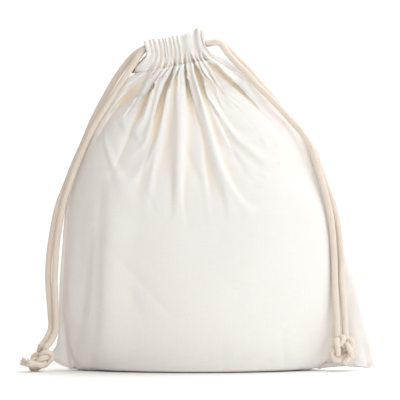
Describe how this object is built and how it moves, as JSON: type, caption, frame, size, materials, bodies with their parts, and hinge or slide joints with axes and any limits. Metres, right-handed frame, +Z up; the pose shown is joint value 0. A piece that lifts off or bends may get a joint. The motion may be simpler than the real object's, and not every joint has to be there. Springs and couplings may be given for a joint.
{
  "type": "drawstring gift sack",
  "caption": "Plain cream cotton sack, filled and standing, its mouth gathered shut by a drawstring from each side, the hanging ends tied in knots.",
  "frame": {"origin": "on the floor, under the middle of the sack from bottom corner to bottom corner and from front to back", "axes": "+X to the viewer's right, +Y to the back of the sack, +Z up"},
  "size_m": [0.3127, 0.12, 0.2941],
  "materials": {
    "cotton_cloth": "matte unbleached plain-weave cotton",
    "cotton_cord": "matte braided cotton",
    "sewing_thread": "matte spun thread",
    "seam_allowance": "matte cotton edge bound by overlock thread"
  },
  "bodies": {
    "sack": {"front_panel": "cotton_cloth", "back_panel": "cotton_cloth", "front_casing": "cotton_cloth", "back_casing": "cotton_cloth", "front_casing_stitch": "sewing_thread", "back_casing_stitch": "sewing_thread", "left_side_seam": "seam_allowance", "right_side_seam": "seam_allowance", "bottom_seam": "seam_allowance"},
    "left_cord": {"left_cord_loop": "cotton_cord"},
    "left_tails": {"left_front_tail": "cotton_cord", "left_back_tail": "cotton_cord", "left_knot": "cotton_cord", "left_cord_ends": "cotton_cord"},
    "right_cord": {"right_cord_loop": "cotton_cord"},
    "right_tails": {"right_front_tail": "cotton_cord", "right_back_tail": "cotton_cord", "right_knot": "cotton_cord", "right_cord_ends": "cotton_cord"}
  },
  "joints": [
    {"name": "left_cord_draw", "type": "slide", "parent": "sack", "child": "left_cord", "axis": [-0.9833, 0, -0.1822], "range_m": [0, 0.005]},
    {"name": "left_tails_swing", "type": "hinge", "parent": "left_cord", "child": "left_tails", "pos_m": [-0.05946, 0, 0.28027], "axis": [0, 1, 0], "range_deg": [0, 100]},
    {"name": "right_cord_draw", "type": "slide", "parent": "sack", "child": "right_cord", "axis": [0.9833, 0, 0.1822], "range_m": [0, 0.005]},
    {"name": "right_tails_swing", "type": "hinge", "parent": "right_cord", "child": "right_tails", "pos_m": [-0.00296, 0, 0.28434], "axis": [0, -1, 0], "range_deg": [0, 90]}
  ]
}
